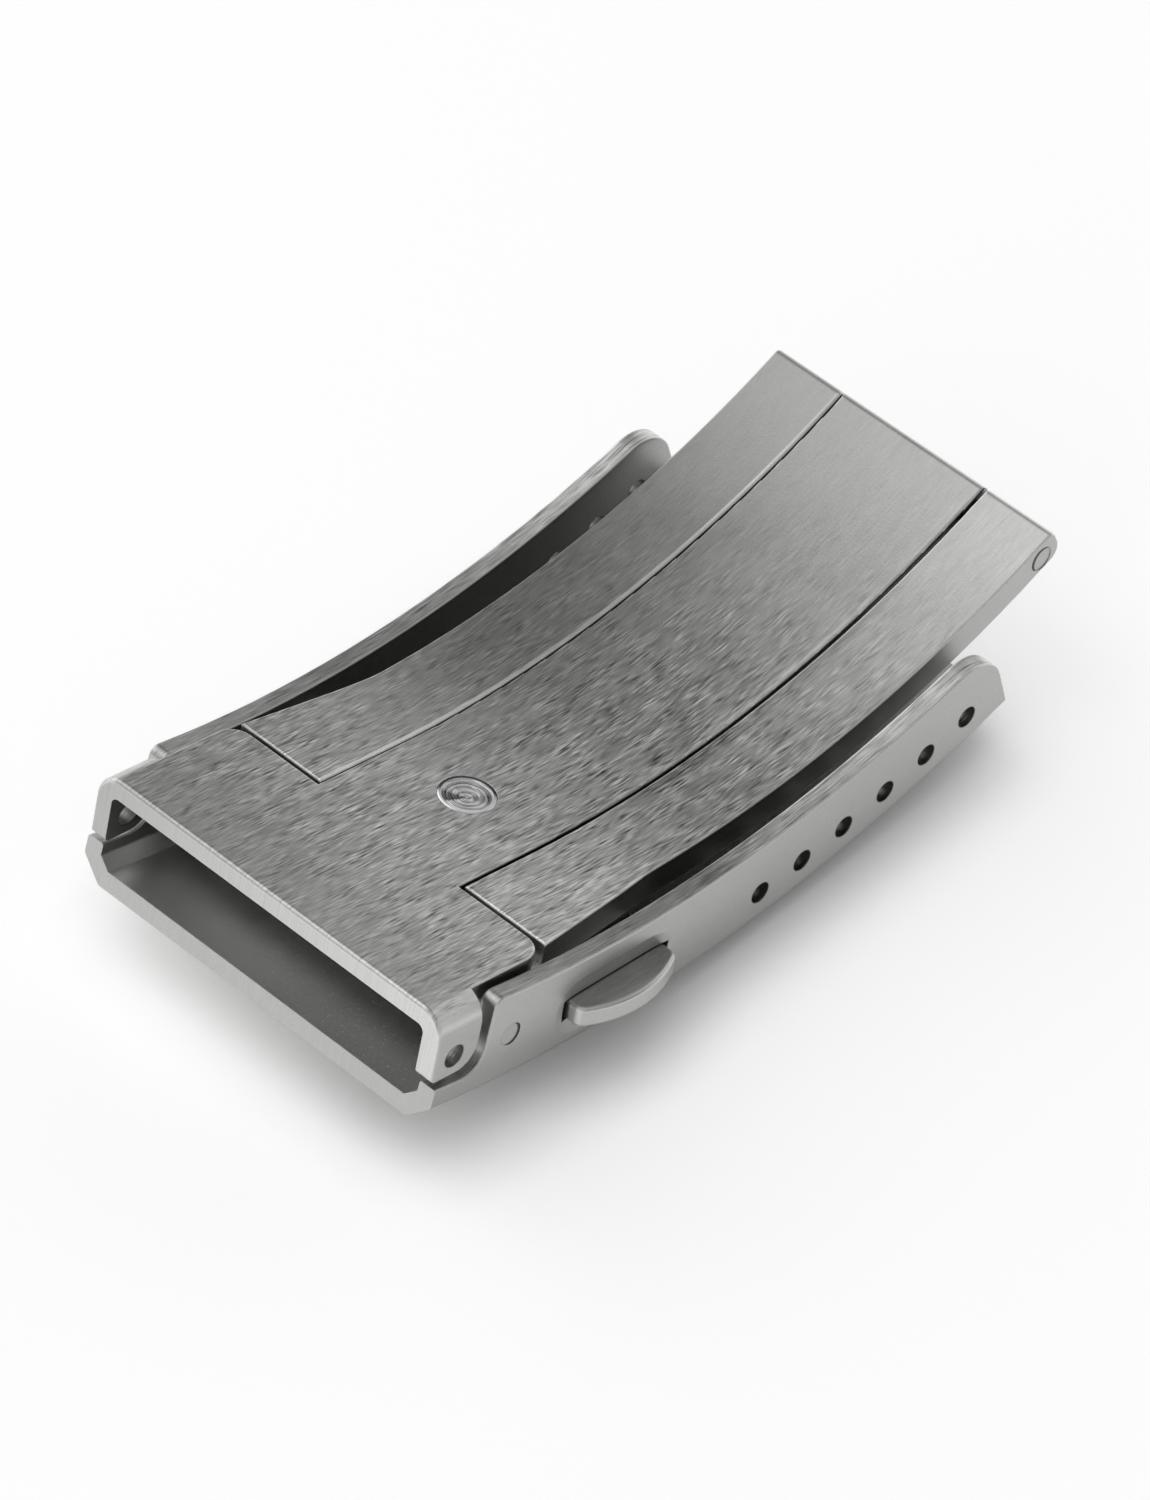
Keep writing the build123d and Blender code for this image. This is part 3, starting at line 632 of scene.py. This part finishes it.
def turned_steel(tone, roughness):
    """Steel with a lathe's rings about the stud's axis, painted light and dark sectors, and a painted shadow
    at its rim.
    """
    t = Tree(bpy.data.materials.new("turned_steel"))
    coordinates = t.add("ShaderNodeTexCoord")
    offset = t.vector("SCALE", t.vector("SUBTRACT", coordinates.outputs["Object"], STUD_FACE), scale=1 / MM)
    along = t.vector("DOT_PRODUCT", offset, STUD_AXIS)
    flat = t.vector("SUBTRACT", offset, t.vector("SCALE", STUD_AXIS, scale=along))
    radius = t.vector("LENGTH", flat)
    back = t.vector("DOT_PRODUCT", flat, STUD_BACK)
    right = t.vector("DOT_PRODUCT", flat, STUD_RIGHT)
    warp = t.centred(t.noise(offset, **WARP_NOISE))
    grain = t.noise(offset, **LATHE_NOISE)

    ring_way = t.maths("DIVIDE", t.maths("MULTIPLY_ADD", warp, RING_WARP, radius), STUD_RIM)
    rings = t.grades(ring_way, RING_SHARES, "EASE")
    turn = t.ramp(t.maths("ARCTAN2", right, back), -math.pi, math.pi, smooth=False)
    painted_sectors = t.grades(t.maths("MULTIPLY_ADD", warp, SECTOR_WARP, turn), PAINTED_SECTOR_SHARES)
    inside_rim = t.ramp(radius, *(STUD_RIM * share for share in SECTOR_END_SHARES))
    swing = t.product(t.maths("SUBTRACT", painted_sectors, SECTOR_NEUTRAL), inside_rim)
    seam_shadow = t.product(t.ramp(back, *(STUD_RIM * share for share in SEAM_BACK_SHARES)),
                     t.ramp(radius, *(STUD_RIM * share for share in SEAM_SHARES)))

    shade = t.maths("MULTIPLY_ADD", rings, RING_CONTRAST, RING_BASE)
    shade = t.changed(shade, swing, SECTOR_CONTRAST)
    shade = t.maths("MULTIPLY_ADD", t.centred(grain), LATHE_GRAIN, shade)
    shade = t.changed(shade, seam_shadow, SEAM_SHADOW_LOSS)
    level = t.maths("MULTIPLY", shade, tone, clamp=True)
    return t.close("ShaderNodeBsdfPrincipled", {
        "Metallic": 1.0,
        "Anisotropic": LATHE_ANISOTROPY,
        "Base Color": t.colour(level, level, level),
        "Roughness": t.maths("MULTIPLY_ADD", grain, LATHE_DULLNESS, roughness),
        "Normal": t.relief(rings, RING_DEPTH),
        "Tangent": t.turned(t.vector("NORMALIZE", t.vector("CROSS_PRODUCT", STUD_AXIS, flat))),
    })


def dress(material, *names):
    """Gives nodes of the frame their finished material."""
    for name in names:
        materials = nodes[name].data.materials
        materials.clear()
        materials.append(material)


def make_coil(which):
    """A button's spring, copied from its node and fixed to the cover's body in the node's place."""
    node = "button_spring_" + which
    coil = bpy.data.objects.new("coil_" + which, nodes[node].data.copy())
    bpy.context.scene.collection.objects.link(coil)
    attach(coil, "cover_body")
    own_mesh(coil)
    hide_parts(node)


def make_floor():
    """A plain pale floor, a little luminous so that it stays near white."""
    corners = [(-FLOOR_HALF, -FLOOR_HALF, 0), (FLOOR_HALF, -FLOOR_HALF, 0),
               (FLOOR_HALF, FLOOR_HALF, 0), (-FLOOR_HALF, FLOOR_HALF, 0)]
    mesh = bpy.data.meshes.new("floor")
    mesh.from_pydata(corners, [], [(0, 1, 2, 3)])
    floor = bpy.data.objects.new("floor", mesh)
    bpy.context.scene.collection.objects.link(floor)
    t = Tree(bpy.data.materials.new("floor_paper"))
    hidden = t.add("ShaderNodeAmbientOcclusion", samples=FLOOR_SHADE_SAMPLES)
    t.put(hidden.inputs["Distance"], FLOOR_SHADE_REACH * MM)
    mesh.materials.append(t.close("ShaderNodeBsdfPrincipled", {
        "Base Color": (PAPER_GREY, PAPER_GREY, PAPER_GREY, 1.0),
        "Roughness": PAPER_ROUGHNESS,
        "Specular IOR Level": PAPER_SHINE,
        "Emission Color": (1.0, 1.0, 1.0, 1.0),
        "Emission Strength": t.ramp(hidden.outputs["AO"], *FLOOR_GLOW),
    }))


def make_softbox(name, direction, distance, width, height, radiance):
    """A flat lamp that faces the clasp; radiance is how bright its face looks."""
    direction = Vector(direction).normalized()
    lamp = bpy.data.lights.new(name, "AREA")
    lamp.shape = "RECTANGLE"
    lamp.size = width
    lamp.size_y = height
    lamp.energy = radiance * math.pi * width * height
    obj = bpy.data.objects.new(name, lamp)
    obj.location = direction * distance
    obj.rotation_euler = direction.to_track_quat("Z", "Y").to_euler()
    bpy.context.scene.collection.objects.link(obj)


def make_sky():
    """A studio that is light and dark by turns along the clasp, and glows at the rear."""
    t = Tree(bpy.data.worlds.new("studio"), "ShaderNodeOutputWorld")
    x, y, _ = t.separate(t.add("ShaderNodeTexCoord").outputs["Generated"])
    stops = [((way + 1) / 2, level) for way, level in SKY]
    walls = t.grades(t.ramp(x, -1.0, 1.0, smooth=False), stops, "B_SPLINE")
    rear = t.ramp(y, *REAR_GLOW)
    bpy.context.scene.world = t.close("ShaderNodeBackground", {
        "Color": t.vector("ADD", walls, rear),
        "Strength": SKY_STRENGTH,
    })


def make_camera():
    azimuth = math.radians(CAMERA_AZIMUTH)
    elevation = math.radians(CAMERA_ELEVATION)
    direction = Vector((
        math.sin(azimuth) * math.cos(elevation),
        -math.cos(azimuth) * math.cos(elevation),
        math.sin(elevation),
    ))
    data = bpy.data.cameras.new("camera")
    data.sensor_width = SENSOR_WIDTH
    data.lens = CAMERA_LENS
    data.clip_start = CLIP_START
    data.clip_end = CLIP_END
    camera = bpy.data.objects.new("camera", data)
    camera.location = STUD_FACE + AIM_OFFSET + direction * CAMERA_DISTANCE
    camera.rotation_euler = (-direction).to_track_quat("-Z", "Y").to_euler()
    bpy.context.scene.collection.objects.link(camera)
    bpy.context.scene.camera = camera


hinge_pin_steel = pin_steel("pin_steel", "cover_hinge_pin", HINGE_PIN_CRESCENT, tone=0.58, edge_gain=0.1)
fold_pin_steel = pin_steel("fold_pin_steel", "fold_hinge_pin", FOLD_PIN_CRESCENT, tone=0.62, edge_gain=0.7)
cage_steel = hidden_steel("inner_steel", lines=0.06, grain=0.05, blotch=0.06, tone=0.50, roughness=0.40,
                          depth=0.010)
spring_steel = hidden_steel("spring_steel", lines=0.02, grain=0.04, blotch=0.05, tone=0.52, roughness=0.30,
                            depth=0.004)
dress(cover_steel(), "cover")
dress(blade_steel(), "inner_blade", "outer_blade")
dress(button_steel(), "push_button_near", "push_button_far")
dress(hinge_pin_steel, "cover_hinge_pin")
dress(fold_pin_steel, "fold_hinge_pin")
dress(cage_steel, "latch_cage")
dress(turned_steel(tone=0.66, roughness=0.22), "latch_stud")
dress(spring_steel, "button_spring_near", "button_spring_far")

make_coil("near")
make_coil("far")
make_floor()
make_sky()
for softbox in SOFTBOXES:
    make_softbox(*softbox)
make_camera()
bpy.context.scene.view_settings.view_transform = "Standard"
bpy.context.scene.view_settings.look = "None"
